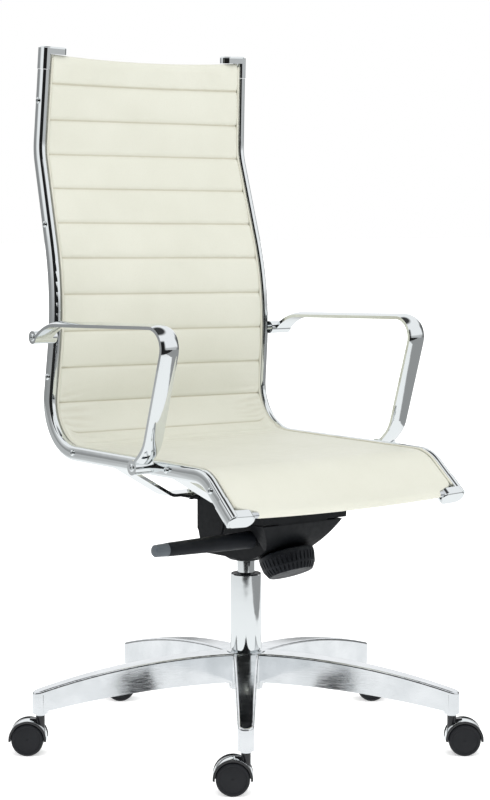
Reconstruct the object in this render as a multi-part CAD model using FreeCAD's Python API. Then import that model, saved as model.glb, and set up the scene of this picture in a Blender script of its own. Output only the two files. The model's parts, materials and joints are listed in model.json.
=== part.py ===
"""Swivel office chair: leather sling between two chromed rails, tilt mechanism, gas lift, five-star base.

Millimetres.  +Z is up, the origin is on the floor under the swivel axis, and the sitter faces -Y, so the
sitter's right hand is on the -X side.
"""
import FreeCAD, Part
import math
import os

Vector = FreeCAD.Vector
X_AXIS = Vector(1, 0, 0)
Y_AXIS = Vector(0, 1, 0)
Z_AXIS = Vector(0, 0, 1)
ORIGIN = Vector(0, 0, 0)

# ---------------------------------------------------------------- driving dimensions
RUN_FIT = 0.05            # radial clearance of a shaft that turns or slides in its bore
AIR_GAP = 0.5             # clearance between neighbouring pieces that don't touch

# side rails: centre line in the (Y, Z) plane, as corner points with the bend radius at each corner
RAIL_POINTS = [(272, 1073), (281, 942), (218, 708), (245, 463), (-187, 458.5), (-226, 424)]
RAIL_RADII = [100, 480, 82, 52]
RAIL_WIDTH = 14           # across, along X
RAIL_DEPTH = 24           # front to back
RAIL_CORNER = 5.5
RAIL_SIDE_RADIUS = 40     # the two broad sides are slightly bowed
RAIL_X = 223.05           # rail plane at seat height and Y = 0
RAIL_PIVOT_Z = 430
RAIL_LEAN_DEG = 1.82      # the rails lean towards each other at the top
RAIL_TOE_DEG = 0.49
CAP_GROWTH = 0.75         # the end caps are this much larger than the rail all round
TOP_CAP_LENGTH = 37
FRONT_CAP_LENGTH = 40
CAP_FOOT_WIDTH = 47
CAP_JOINT = 0.6           # dark joint line between a rail and its cap
CAP_FOOT = {"top": 11.7, "front": 13.5}   # thickness
RAIL_SCREW_SPOTS = [(276, 1023), (249.5, 824), (232.5, 579), (156, 463), (-98, 459.6), (-208, 440)]
SCREW_HEAD_R = 5
SCREW_HEAD_H = 2.6
SCREW_SHANK_R = 2.5
SCREW_SHANK_LENGTH = 7

# leather sling
SLING_FRONT_OFFSET = 12   # the sitting side is flush with the rail's front face
SLING_THICKNESS = 14
SLING_EDGE_GAP = 0.5
HEM_HALF_WIDTH = 176      # the front hem reaches further forward between the cap feet
CROSSBAR_R = 5
CROSSBAR_CLEARANCE = 0.2

# armrests
ARM_X = 246.7
ARM_WIDTH = 32
ARM_EDGE = 5              # thickness at the band's two edges
ARM_CROWN = 4             # extra thickness along the band's middle
ARM_POINTS = [(-50, 464), (-82, 492), (-137, 672), (183, 663.4), (209, 640)]
ARM_RADII = [55, 28, 80]
ARM_FRONT_BOLT = (-55, 462)
ARM_REAR_BOLT = (216, 645)
ARM_FRONT_EAR_R = 11.5
ARM_REAR_EAR_R = 10.5
ARM_BOLT_HEAD_R = 6
ARM_BOLT_HEAD_H = 1.4
ARM_BOLT_SHANK_R = 4

# straps under the seat
STRAP_Y = {"front": -115, "rear": 30}
STRAP_WIDTH = 40
STRAP_THICKNESS = 5
STRAP_FLAT_HALF = 137
STRAP_Z = 400
STRAP_BEND_R = 22

# tilt mechanism
TILT_Y = -70
TILT_Z = 379
TILT_AXLE_R = 6
PLATE_HALF_WIDTH = 84
PLATE_FRONT_Y = -150
PLATE_REAR_Y = 18
PLATE_TOP = 396
PLATE_LIP_Z = 368         # lower edge of the shallow rim in front
PLATE_EAR_Z = 364         # lower edge of the sides beside the tilt axle
PLATE_SIDE_Z = 340        # lower edge of the deep rear sides
SHEET = 4                 # wall of the pressed plate and housing
EAR_X = 87
EAR_R = 18
HOUSING_HALF_WIDTH = 49
HOUSING_BOW = (-105, 318)    # the sloping front and floor arc through this point
HOUSING_PROFILE = [(-142, 364), (-45, 301), (38, 300), (56, 316), (62, 336), (62, 344), (-25, 366), (-53, 384),
                   (-142, 384)]
HOUSING_INNER_BOW = (-102, 322.5)
HOUSING_INNER_PROFILE = [(-138, 366), (-44, 306), (36, 305), (52, 318), (58, 337), (58, 400), (-138, 400)]
FLARE_HALF_WIDTH = 80     # the housing's front widens like a bow to just under the plate's rim
FLARE_Z = (322, 365)
FLARE_REAR_Y = -106
BOWL_R = 38
BOWL_BOTTOM = 289
SOCKET_TOP = 344

# gas lift
CYLINDER_R = 14
CYLINDER_BOTTOM = 65
CYLINDER_TOP = 348
CYLINDER_BORE_R = 11
ROD_R = 5
PIN_R = 4
PIN_TOP = 356
COLUMN_R = 25
COLUMN_WALL = 2
COLUMN_TOP = 267
COLUMN_SHOULDER = 147
COLUMN_NECK_R = 22
COLUMN_TAIL_R = 17.5
COLUMN_TAIL_TOP = 79
COLUMN_BOTTOM = 54

# height lever
LEVER_Y = -88
LEVER_Z = 338
LEVER_ROOT_X = -60
LEVER_END_X = -222
LEVER_TIP_X = -247
LEVER_ROOT_R = 14
LEVER_END_R = 10.5
LEVER_ROD_R = 4

# tension knob, hanging under the sloping front of the housing
KNOB_TOP_CENTRE = Vector(0, -100, 313)
KNOB_TILT_DEG = 23
KNOB_TOP_R = 44
KNOB_BOTTOM_R = 35
KNOB_HEIGHT = 34
KNOB_RIBS = 36
KNOB_GROOVE_R = 1.7
BOLT_R = 6
BOLT_GRIP = 14             # how far the bolt reaches into the knob
COLLAR_HEIGHT = 19         # of the bolt's boss in the housing, above the knob

# five-star base
STAR_FIRST_DEG = -128.42
STAR_ARMS = 5
STEM_CIRCLE_R = 338
TIP_R = 12
TIP_TOP = 100.5
TIP_BOTTOM = 64
NOSE_R = 7.5
NOSE_BOTTOM = 61
HUB_R = 31
HUB_TOP = 143
HUB_RING_R = 27
HUB_RING_BOTTOM = 82
ARM_TOP_APEX = (40, 142)  # radius and height where the arm's top arc is level
ARM_TOP_ARC_R = 1110
ARM_BOTTOM_APEX = (40, 95.5)
ARM_BOTTOM_ARC_R = 1560
STAR_ROOT_HALF = 21
STAR_TIP_HALF = 12
WEB_INSET = 1.4
FLANGE_DEPTH = 7
FLANGE_ROUNDING = 3.5      # of the arm's top edges
BOSS_R = 9                # upright bosses round the hub, between the arms
BOSS_CIRCLE_R = 26
BOSS_BOTTOM = 88
BOSS_HEIGHT = 45
NUB_R = 3.5               # small feet cast under the arms
NUB_CIRCLE_R = 306

# castors
WHEEL_R = 25
WHEEL_INNER_FACE = 4.2
WHEEL_OUTER_FACE = 22.5
CASTOR_TRAIL = 19
AXLE_R = 3
STEM_R = 5.5
STEM_STEP_Z = 51          # below this the stem is a thin spigot inside the hood's fin
FIN_HALF = 3.5
HOOD_INNER_R = 26.2
HOOD_OUTER_R = 28.6
HOOD_HALF_WIDTH = 20
HOOD_BEAD = 0.9           # raised rounded bead along both fender edges
HOOD_BEAD_WIDTH = 3.2
HOOD_LOW_Z = 22.5
NECK_R = 7
NECK_TOP = 60.4
CASTOR_HEADING_DEG = -38.42  # castors trail one way or the other along this heading
CASTOR_TRAIL_SIGNS = [-1, 1, 1, -1, -1]

SIDES = {"left": 1, "right": -1}


# ---------------------------------------------------------------- helpers
def save(name, shape):
    """Write one node as a STEP file."""
    shape.exportStep(os.path.join("parts", name + ".step"))


def fused(shapes):
    """One solid from overlapping shapes, with its internal seams removed."""
    first, rest = shapes[0], shapes[1:]
    whole = first.multiFuse(rest) if rest else first
    return whole.removeSplitter()


def cylinder(radius, start, end):
    """Cylinder from one point to another."""
    along = end - start
    return Part.makeCylinder(radius, along.Length, start, along)


def cone(radius_start, radius_end, start, end):
    """Truncated cone from one point to another."""
    along = end - start
    return Part.makeCone(radius_start, radius_end, along.Length, start, along)


def revolved(profile, base=ORIGIN, axis=Z_AXIS):
    """Solid of revolution about the Z axis from (radius, height) points, then turned onto base and axis."""
    points = [Vector(r, 0, h) for r, h in profile]
    face = Part.Face(Part.makePolygon(points + [points[0]]))
    solid = face.revolve(ORIGIN, Z_AXIS, 360)
    solid.Placement = FreeCAD.Placement(base, FreeCAD.Rotation(Z_AXIS, axis)).multiply(solid.Placement)
    return solid


def rounded_path(points, radii, offset=0.0):
    """Edges in the YZ plane through corner points with rounded corners, moved sideways by offset.

    A positive offset moves the line to the left of its direction of travel.
    """
    flat = [Vector(0, y, z) for y, z in points]
    directions = [(b - a).normalize() for a, b in zip(flat, flat[1:])]
    normals = [Vector(0, -d.z, d.y) for d in directions]
    corners = [flat[0] + normals[0] * offset]
    for point, n0, n1 in zip(flat[1:-1], normals, normals[1:]):
        bisector = (n0 + n1).normalize()
        corners.append(point + bisector * (offset / bisector.dot(n0)))
    corners.append(flat[-1] + normals[-1] * offset)
    edges = []
    here = corners[0]
    for corner, radius, d0, d1 in zip(corners[1:-1], radii, directions, directions[1:]):
        turn = d0.getAngle(d1)
        turns_left = d0.cross(d1).x > 0
        bend = radius - offset if turns_left else radius + offset
        tangent = bend * math.tan(turn / 2)
        start = corner - d0 * tangent
        end = corner + d1 * tangent
        inward = (d1 - d0).normalize()
        middle = corner + inward * (bend / math.cos(turn / 2) - bend)
        edges.append(Part.LineSegment(here, start).toShape())
        edges.append(Part.Arc(start, middle, end).toShape())
        here = end
    edges.append(Part.LineSegment(here, corners[-1]).toShape())
    return edges


def swept(section_points_wire, path_edges):
    """Solid swept along a planar path."""
    return Part.Wire(path_edges).makePipeShell([section_points_wire], True, False)


def rounded_rectangle(width, depth, corner, centre, across, along, side_radius=None):
    """Closed wire, width along across and depth along along; side_radius bows the two deep sides outward."""
    half_w, half_d = width / 2, depth / 2
    lean = math.asin((half_d - corner) / (side_radius - corner)) if side_radius else 0
    corner_u = half_w - corner
    if side_radius:
        corner_u = half_w - side_radius + (side_radius - corner) * math.cos(lean)
    corner_v = half_d - corner

    def at(u, v):
        return centre + across * u + along * v

    def on_corner(su, sv, angle):
        return at(su * (corner_u + corner * math.cos(angle)), sv * (corner_v + corner * math.sin(angle)))

    edges = []
    for su, sv in [(1, 1), (-1, 1), (-1, -1), (1, -1)]:
        spots = [on_corner(su, sv, angle) for angle in (lean, (lean + math.pi / 2) / 2, math.pi / 2)]
        if su * sv < 0:
            spots.reverse()
        edges.append(Part.Arc(*spots))
    wire = []
    for k, (arc, following) in enumerate(zip(edges, edges[1:] + edges[:1])):
        wire.append(arc.toShape())
        if side_radius and k % 2 == 1:
            crest = at(half_w if k == 3 else -half_w, 0)
            wire.append(Part.Arc(arc.EndPoint, crest, following.StartPoint).toShape())
        else:
            wire.append(Part.LineSegment(arc.EndPoint, following.StartPoint).toShape())
    return Part.Wire(wire)


def prism_x(outline, x_from, x_to, bow=None):
    """Solid from (y, z) points, extruded along X; the first side is an arc if bow gives a point on it."""
    points = [Vector(x_from, y, z) for y, z in outline]
    edges = [Part.LineSegment(a, b).toShape() for a, b in zip(points, points[1:] + points[:1])]
    if bow:
        edges[0] = Part.Arc(points[0], Vector(x_from, *bow), points[1]).toShape()
    return Part.Face(Part.Wire(edges)).extrude(Vector(x_to - x_from, 0, 0))


def leaned(shape):
    """Place a shape built about the plane X = 0 onto the leaning rail plane on the +X side."""
    lean = FreeCAD.Placement(ORIGIN, FreeCAD.Rotation(Y_AXIS, -RAIL_LEAN_DEG), Vector(0, 0, RAIL_PIVOT_Z))
    toe = FreeCAD.Placement(Vector(RAIL_X, 0, 0), FreeCAD.Rotation(Z_AXIS, RAIL_TOE_DEG))
    placed = shape.copy()
    placed.Placement = toe.multiply(lean).multiply(placed.Placement)
    return placed


def on_side(shape, side):
    """Mirror a +X shape for the right-hand side."""
    return shape if side > 0 else shape.mirror(ORIGIN, X_AXIS)


def button_screw(centre, direction, head_r, head_h, shank_r, shank_length):
    """Domed socket screw: the head stands out of the surface at centre along direction."""
    socket_r = head_r * 0.42
    profile = [(0, -shank_length), (shank_r, -shank_length), (shank_r, 0), (head_r, 0), (head_r, head_h * 0.35),
               (head_r * 0.86, head_h * 0.75), (head_r * 0.6, head_h), (0, head_h)]
    screw = revolved(profile, centre, direction)
    corners = [Vector(socket_r * math.cos(k * math.pi / 3), socket_r * math.sin(k * math.pi / 3), 0)
               for k in range(6)]
    socket = Part.Face(Part.makePolygon(corners + [corners[0]])).extrude(Vector(0, 0, head_h))
    socket_floor = centre + direction * (head_h * 0.4)
    socket.Placement = FreeCAD.Placement(socket_floor, FreeCAD.Rotation(Z_AXIS, direction))
    return screw.cut(socket)


# ---------------------------------------------------------------- seat frame
def rail_end_direction(which):
    """Unit vector out of a rail's end, in its own plane."""
    points = RAIL_POINTS if which == "front" else RAIL_POINTS[::-1]
    (y0, z0), (y1, z1) = points[-2:]
    return Vector(0, y1 - y0, z1 - z0).normalize()


def rail_end_point(which):
    """Centre of a rail's cut end, in its own plane."""
    y, z = RAIL_POINTS[-1] if which == "front" else RAIL_POINTS[0]
    return Vector(0, y, z)


def flat_rail():
    """Rail solid about the plane X = 0."""
    start = rail_end_point("top")
    inward = rail_end_direction("top") * -1
    across_depth = inward.cross(X_AXIS)
    section = rounded_rectangle(RAIL_WIDTH, RAIL_DEPTH, RAIL_CORNER, start, X_AXIS, across_depth,
                                RAIL_SIDE_RADIUS)
    return swept(section, rounded_path(RAIL_POINTS, RAIL_RADII))


def rail_screw_set():
    """Socket screws along the rail's outer face, about the plane X = 0."""
    return [button_screw(Vector(RAIL_WIDTH / 2, y, z), X_AXIS, SCREW_HEAD_R, SCREW_HEAD_H, SCREW_SHANK_R,
                         SCREW_SHANK_LENGTH) for y, z in RAIL_SCREW_SPOTS]


def end_cap(which, length):
    """L-shaped chromed cap: a socket leg in line with the rail and a flat oval foot turned inboard."""
    thickness = CAP_FOOT[which]
    out = rail_end_direction(which)
    base = rail_end_point(which)
    across_depth = out.cross(X_AXIS)
    width = RAIL_WIDTH + 2 * CAP_GROWTH
    depth = RAIL_DEPTH + 2 * CAP_GROWTH
    socket = base + out * CAP_JOINT
    section = rounded_rectangle(width, depth, RAIL_CORNER + CAP_GROWTH, socket, X_AXIS, across_depth,
                                RAIL_SIDE_RADIUS + CAP_GROWTH)
    leg = Part.Face(section).extrude(out * (length - 3))
    foot_centre = base + out * (length - thickness) - X_AXIS * ((CAP_FOOT_WIDTH - width) / 2)
    oval = rounded_rectangle(CAP_FOOT_WIDTH, depth, depth / 2 - 0.2, foot_centre, X_AXIS, across_depth)
    foot = Part.Face(oval).extrude(out * thickness)
    outer_face_edges = [e for e in foot.Edges
                        if abs((e.CenterOfMass - foot_centre).dot(out) - thickness) < 0.1]
    foot = foot.makeFillet(3, outer_face_edges)
    return fused([leg, foot])


def sling_profile():
    """Face in the YZ plane: the sling's thickness followed along the rail from top edge to front hem."""
    top = rail_end_point("top") + rail_end_direction("top") * (TOP_CAP_LENGTH - CAP_FOOT["top"] - AIR_GAP)
    front = rail_end_point("front") + rail_end_direction("front") * (FRONT_CAP_LENGTH - 1.5)
    points = [(top.y, top.z)] + RAIL_POINTS[1:-1] + [(front.y, front.z)]
    sitting = rounded_path(points, RAIL_RADII, -SLING_FRONT_OFFSET)
    hidden = rounded_path(points, RAIL_RADII, SLING_THICKNESS - SLING_FRONT_OFFSET)
    ends = [(sitting[0].Vertexes[0].Point, hidden[0].Vertexes[0].Point),
            (sitting[-1].Vertexes[-1].Point, hidden[-1].Vertexes[-1].Point)]
    caps = [Part.LineSegment(a, b).toShape() for a, b in ends]
    wire = Part.Wire(Part.__sortEdges__(sitting + hidden + caps))
    return Part.Face(wire)


def crossbar_centre(which):
    """Point inside a hem where the crossbar lies, on the plane X = 0."""
    out = rail_end_direction(which)
    sitting_side = out.cross(X_AXIS) * (-1 if which == "top" else 1)
    middle = sitting_side * (SLING_FRONT_OFFSET - SLING_THICKNESS / 2)
    reach = 3 if which == "top" else FRONT_CAP_LENGTH - CAP_FOOT["front"] / 2
    return rail_end_point(which) + out * reach + middle


def between_rails():
    """Space between the two rails' inner faces."""
    half = leaned(Part.makeBox(600, 1200, 1400, Vector(-600 - RAIL_WIDTH / 2, -600, -100)))
    return half.common(half.mirror(ORIGIN, X_AXIS))


def crossbar(which, end_caps):
    """Round bar inside a hem, from rail to rail at the top and from cap to cap at the front."""
    centre = crossbar_centre(which)
    reach = Vector(RAIL_X, 0, 0)
    bar = cylinder(CROSSBAR_R, centre - reach, centre + reach).common(between_rails())
    pieces = bar.cut(end_caps[0]).cut(end_caps[1]).Solids
    return min(pieces, key=lambda piece: abs(piece.CenterOfMass.x))


def leather_sling(end_caps):
    """Closed solid of the one-piece back and seat panel."""
    slab = sling_profile().extrude(Vector(2 * RAIL_X, 0, 0))
    slab.translate(Vector(-RAIL_X, 0, 0))
    inner = leaned(Part.makeBox(600, 1200, 1400, Vector(-600 - RAIL_WIDTH / 2 - SLING_EDGE_GAP, -600, -100)))
    sling = slab.common(inner).common(inner.mirror(ORIGIN, X_AXIS))
    out = rail_end_direction("front")
    notch_start = rail_end_point("front") + out * (FRONT_CAP_LENGTH - CAP_FOOT["front"] - AIR_GAP)
    notch = Part.makeBox(200, 120, 60, Vector(HEM_HALF_WIDTH, -60, 0))
    notch.Placement = FreeCAD.Placement(notch_start, FreeCAD.Rotation(Z_AXIS, out))
    for side in SIDES.values():
        sling = sling.cut(on_side(notch, side))
    for which in ("top", "front"):
        centre = crossbar_centre(which)
        reach = Vector(RAIL_X, 0, 0)
        sling = sling.cut(cylinder(CROSSBAR_R + CROSSBAR_CLEARANCE, centre - reach, centre + reach))
    for cap in end_caps:
        sling = sling.cut(cap)
    return sling.removeSplitter()


def back_stretcher():
    """Bowed flat brace behind the back, from rail to rail."""
    end_y, bow_y, thickness, z, height = 234, 262, 7, 690, 26
    outer = Part.Arc(Vector(-RAIL_X, end_y, z), Vector(0, bow_y + 2, z), Vector(RAIL_X, end_y, z))
    front = outer.toShape().copy()
    back = outer.toShape().copy()
    front.translate(Vector(0, -thickness / 2, -height / 2))
    back.translate(Vector(0, thickness / 2, -height / 2))
    sides = [Part.LineSegment(front.Vertexes[k].Point, back.Vertexes[k].Point).toShape() for k in (0, 1)]
    face = Part.Face(Part.Wire(Part.__sortEdges__([front, back] + sides)))
    brace = face.extrude(Vector(0, 0, height))
    long_edges = [e for e in brace.Edges if e.Length > 300]
    return brace.makeFillet(2.5, long_edges).common(between_rails())


def armrest():
    """Flat chromed band from the seat rail up, back and down to the back rail, on the +X side."""
    edges = rounded_path(ARM_POINTS, ARM_RADII)
    start = edges[0].Vertexes[0].Point
    along = (edges[0].Vertexes[1].Point - start).normalize()
    outward = Vector(0, -along.z, along.y) * -1
    if outward.y > 0:
        outward = outward * -1
    half = ARM_WIDTH / 2

    def at(u, v):
        return start + X_AXIS * u + outward * v

    section = Part.Wire([
        Part.LineSegment(at(-half, 0), at(half, 0)).toShape(),
        Part.LineSegment(at(half, 0), at(half, ARM_EDGE)).toShape(),
        Part.Arc(at(half, ARM_EDGE), at(0, ARM_EDGE + ARM_CROWN), at(-half, ARM_EDGE)).toShape(),
        Part.LineSegment(at(-half, ARM_EDGE), at(-half, 0)).toShape(),
    ])
    band = swept(section, edges)
    band.translate(Vector(ARM_X, 0, 0))
    rail_side = ARM_X - half - 12
    outer_side = ARM_X + half
    ears = [cylinder(radius, Vector(rail_side, y, z), Vector(outer_side, y, z))
            for (y, z), radius in ((ARM_FRONT_BOLT, ARM_FRONT_EAR_R), (ARM_REAR_BOLT, ARM_REAR_EAR_R))]
    inboard = leaned(Part.makeBox(60, 1200, 1400, Vector(-60 + RAIL_WIDTH / 2, -600, -100)))
    return fused([band] + ears).cut(inboard)


def arm_bolt_set():
    """Socket bolts through both ears of one armrest into the rail, on the +X side."""
    face_x = ARM_X + ARM_WIDTH / 2
    return [button_screw(Vector(face_x, y, z), X_AXIS, ARM_BOLT_HEAD_R, ARM_BOLT_HEAD_H, ARM_BOLT_SHANK_R,
                         ARM_WIDTH + 14) for y, z in (ARM_FRONT_BOLT, ARM_REAR_BOLT)]


def strap(y, rails):
    """Flat steel cross strap whose two wings rise to the undersides of the rails."""
    half = STRAP_WIDTH / 2
    wing_tip = (RAIL_X - 1, STRAP_Z + 49)
    points = [(-wing_tip[0], wing_tip[1]), (-STRAP_FLAT_HALF, STRAP_Z), (STRAP_FLAT_HALF, STRAP_Z), wing_tip]
    lower = rounded_path(points, [STRAP_BEND_R, STRAP_BEND_R])
    upper = rounded_path(points, [STRAP_BEND_R, STRAP_BEND_R], STRAP_THICKNESS)
    ends = [Part.LineSegment(lower[k].Vertexes[k].Point, upper[k].Vertexes[k].Point).toShape() for k in (0, -1)]
    face = Part.Face(Part.Wire(Part.__sortEdges__(lower + upper + ends)))
    band = face.extrude(Vector(STRAP_WIDTH, 0, 0))
    band.rotate(ORIGIN, Z_AXIS, -90)
    band.translate(Vector(0, y + half, 0))
    for rail in rails:
        band = band.cut(rail)
    return band


# ---------------------------------------------------------------- mechanism
def seat_plate():
    """Pressed plate that carries the seat: an open tray upside down, with four mounting ears."""
    outline = [(PLATE_FRONT_Y, PLATE_TOP), (PLATE_FRONT_Y + 3, PLATE_LIP_Z), (TILT_Y - 28, PLATE_LIP_Z),
               (TILT_Y - 18, PLATE_EAR_Z), (TILT_Y + 20, PLATE_EAR_Z), (TILT_Y + 28, PLATE_SIDE_Z),
               (PLATE_REAR_Y - 6, PLATE_SIDE_Z), (PLATE_REAR_Y, PLATE_SIDE_Z + 6), (PLATE_REAR_Y, PLATE_TOP)]
    block = prism_x(outline, -PLATE_HALF_WIDTH, PLATE_HALF_WIDTH)
    inner = PLATE_HALF_WIDTH - SHEET
    hollow_y = (PLATE_FRONT_Y + SHEET + 2, PLATE_REAR_Y + SHEET)
    hollow_z = (PLATE_SIDE_Z - SHEET, PLATE_TOP - SHEET)
    hollow = Part.makeBox(2 * inner, hollow_y[1] - hollow_y[0], hollow_z[1] - hollow_z[0],
                          Vector(-inner, hollow_y[0], hollow_z[0]))
    pieces = [block.cut(hollow)]
    for y in STRAP_Y.values():
        corner = Vector(-EAR_X, y - EAR_R, hollow_z[1])
        pieces.append(Part.makeBox(2 * EAR_X, 2 * EAR_R, STRAP_Z - hollow_z[1], corner))
        for x in (-EAR_X, EAR_X):
            pieces.append(cylinder(EAR_R, Vector(x, y, STRAP_Z - SHEET), Vector(x, y, STRAP_Z)))
    axle_reach = Vector(PLATE_HALF_WIDTH + SHEET, 0, 0)
    axle_middle = Vector(0, TILT_Y, TILT_Z)
    bore = cylinder(TILT_AXLE_R + RUN_FIT, axle_middle - axle_reach, axle_middle + axle_reach)
    return fused(pieces).cut(bore)


def lever_slot():
    """Clear way for the lever's rod through the housing's right-hand wall."""
    return cylinder(LEVER_ROD_R + 2.5, Vector(-HOUSING_HALF_WIDTH - 5, LEVER_Y, LEVER_Z),
                    Vector(-HOUSING_HALF_WIDTH + 8, LEVER_Y, LEVER_Z))


def knob_axis():
    """Unit vector up along the tension bolt."""
    tilt = math.radians(KNOB_TILT_DEG)
    return Vector(0, math.sin(tilt), math.cos(tilt))


def housing_flare():
    """Open shell on both sides of the housing's front, widening upward."""
    low, high = FLARE_Z

    def wedge(profile, bow, inset):
        bottom, top = HOUSING_HALF_WIDTH - inset, FLARE_HALF_WIDTH - inset
        outline = [(-bottom, low), (bottom, low), (top, high), (-top, high), (-bottom, low)]
        face = Part.Face(Part.makePolygon([Vector(x, PLATE_FRONT_Y, z) for x, z in outline]))
        tapered = face.extrude(Y_AXIS * (FLARE_REAR_Y - PLATE_FRONT_Y))
        return prism_x(profile, -FLARE_HALF_WIDTH, FLARE_HALF_WIDTH, bow).common(tapered)

    return wedge(HOUSING_PROFILE, HOUSING_BOW, 0).cut(wedge(HOUSING_INNER_PROFILE, HOUSING_INNER_BOW, SHEET))


def mechanism_housing():
    """Pressed housing: open-topped box with a bowed sloping front, and a bowl around the gas cylinder."""
    half = HOUSING_HALF_WIDTH
    outer = prism_x(HOUSING_PROFILE, -half, half, HOUSING_BOW)
    inner = prism_x(HOUSING_INNER_PROFILE, -half + SHEET, half - SHEET, HOUSING_INNER_BOW)
    bowl_top = 306
    bowl = revolved([(0, BOWL_BOTTOM), (CYLINDER_R + 3, BOWL_BOTTOM), (27, 291.5), (34, 295.5), (BOWL_R, 301),
                     (BOWL_R, bowl_top), (0, bowl_top)])
    socket = cylinder(CYLINDER_R + 5, Vector(0, 0, bowl_top - 6), Vector(0, 0, SOCKET_TOP))
    axis = knob_axis()
    collar = cylinder(BOLT_R + 6, KNOB_TOP_CENTRE + axis * 1.2, KNOB_TOP_CENTRE + axis * COLLAR_HEIGHT)
    lever_boss = cylinder(LEVER_ROD_R + 7, Vector(-half - 4, LEVER_Y, LEVER_Z),
                          Vector(-half + 2, LEVER_Y, LEVER_Z))
    axle_bosses = [cylinder(TILT_AXLE_R + 5, Vector(x0, TILT_Y, TILT_Z), Vector(x1, TILT_Y, TILT_Z))
                   for x0, x1 in ((-half, -half + 8), (half - 8, half))]
    housing = fused([outer.cut(inner), housing_flare(), bowl, socket, collar, lever_boss] + axle_bosses)
    bores = [cylinder(CYLINDER_R, Vector(0, 0, BOWL_BOTTOM - 5), Vector(0, 0, SOCKET_TOP + 5)),
             cylinder(BOLT_R + 0.3, KNOB_TOP_CENTRE, KNOB_TOP_CENTRE + axis * (2 * COLLAR_HEIGHT)),
             cylinder(TILT_AXLE_R, Vector(-half - 1, TILT_Y, TILT_Z), Vector(half + 1, TILT_Y, TILT_Z)),
             lever_slot()]
    for bore in bores:
        housing = housing.cut(bore)
    return housing.removeSplitter()


def tilt_axle():
    """Steel cross pin that the seat plate tilts on."""
    length = PLATE_HALF_WIDTH + 3
    pin = cylinder(TILT_AXLE_R, Vector(-length, TILT_Y, TILT_Z), Vector(length, TILT_Y, TILT_Z))
    return pin.makeChamfer(1, [e for e in pin.Edges if abs(abs(e.CenterOfMass.x) - length) < 0.1])


def tension_spring():
    """Compression spring around the tension bolt, inside the housing."""
    wire_r, coil_r, pitch, turns = 2.2, 12, 5.5, 4
    helix = Part.makeHelix(pitch, pitch * turns, coil_r)
    section = Part.Wire(Part.makeCircle(wire_r, Vector(coil_r, 0, 0), Y_AXIS))
    spring = Part.Wire(helix.Edges).makePipeShell([section], True, True)
    axis = knob_axis()
    foot = KNOB_TOP_CENTRE + axis * (COLLAR_HEIGHT + 2 * wire_r + 2)
    spring.Placement = FreeCAD.Placement(foot, FreeCAD.Rotation(Z_AXIS, axis))
    return spring


def tension_bolt():
    """Threaded bolt that the knob turns, with its spring plate on top."""
    plate_r, plate_low, plate_high = 15, 51.5, 55
    profile = [(0, -BOLT_GRIP), (BOLT_R, -BOLT_GRIP), (BOLT_R, plate_low), (plate_r, plate_low),
               (plate_r, plate_high), (0, plate_high)]
    return revolved(profile, KNOB_TOP_CENTRE, knob_axis())


def tension_knob():
    """Ribbed knob that tightens the tilt spring."""
    waist_r = (KNOB_TOP_R + KNOB_BOTTOM_R) / 2 + 2
    knob = revolved([(0, 0), (KNOB_TOP_R, 0), (KNOB_TOP_R, -9), (waist_r, -KNOB_HEIGHT * 0.68),
                     (KNOB_BOTTOM_R, -KNOB_HEIGHT), (0, -KNOB_HEIGHT)])
    rims = [e for e in knob.Edges if round(e.CenterOfMass.z, 1) in (0, -KNOB_HEIGHT)]
    knob = knob.makeFillet(3.5, rims)
    knob = knob.cut(cylinder(BOLT_R, Vector(0, 0, -BOLT_GRIP), Vector(0, 0, 1)))
    grooves = []
    for k in range(KNOB_RIBS):
        turn = 2 * math.pi * k / KNOB_RIBS
        spoke = Vector(math.cos(turn), math.sin(turn), 0)
        top = spoke * (KNOB_TOP_R + KNOB_GROOVE_R * 0.45) - Z_AXIS * 8
        bottom = spoke * (KNOB_BOTTOM_R + KNOB_GROOVE_R * 0.45) - Z_AXIS * KNOB_HEIGHT
        grooves.append(cylinder(KNOB_GROOVE_R, top, bottom))
    knob = knob.cut(Part.makeCompound(grooves))
    knob.Placement = FreeCAD.Placement(KNOB_TOP_CENTRE, FreeCAD.Rotation(Z_AXIS, knob_axis()))
    return knob


def lift_lever():
    """Tapered handle of the height lever, bored for its rod and for the tip's stem."""
    root = Vector(LEVER_ROOT_X, LEVER_Y, LEVER_Z)
    end = Vector(LEVER_END_X, LEVER_Y, LEVER_Z)
    body = cone(LEVER_ROOT_R, LEVER_END_R, root, end)
    body = body.makeFillet(1.5, [e for e in body.Edges if abs(e.CenterOfMass.x - LEVER_ROOT_X) < 0.1])
    rod_bore = cylinder(LEVER_ROD_R, root + X_AXIS * 5, root - X_AXIS * 90)
    tip_bore = cylinder(5 + RUN_FIT, end - X_AXIS, end + X_AXIS * 41)
    return body.cut(rod_bore).cut(tip_bore)


def lever_tip():
    """Pull-out end button on the height lever."""
    length = LEVER_END_X - LEVER_TIP_X
    profile = [(0, 0.3), (LEVER_END_R - 0.2, 0.3), (LEVER_END_R - 1.2, length - 3),
               (LEVER_END_R - 3.5, length - 0.6), (0, length)]
    button = revolved(profile, Vector(LEVER_END_X, LEVER_Y, LEVER_Z), X_AXIS * -1)
    stem = cylinder(5, Vector(LEVER_END_X - 2, LEVER_Y, LEVER_Z), Vector(LEVER_END_X + 30, LEVER_Y, LEVER_Z))
    return fused([button, stem])


def lever_rod():
    """Bent steel rod from the handle to above the gas cylinder's pin."""
    press_z = PIN_TOP + LEVER_ROD_R + 0.3
    route = [Vector(LEVER_ROOT_X - 80, LEVER_Y, LEVER_Z), Vector(-30, LEVER_Y, LEVER_Z),
             Vector(-27, -40, press_z), Vector(-27, 0, press_z), Vector(3, 0, press_z)]
    pieces = [cylinder(LEVER_ROD_R, a, b) for a, b in zip(route, route[1:])]
    pieces += [Part.makeSphere(LEVER_ROD_R, corner) for corner in route[1:-1]]
    return fused(pieces)


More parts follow.
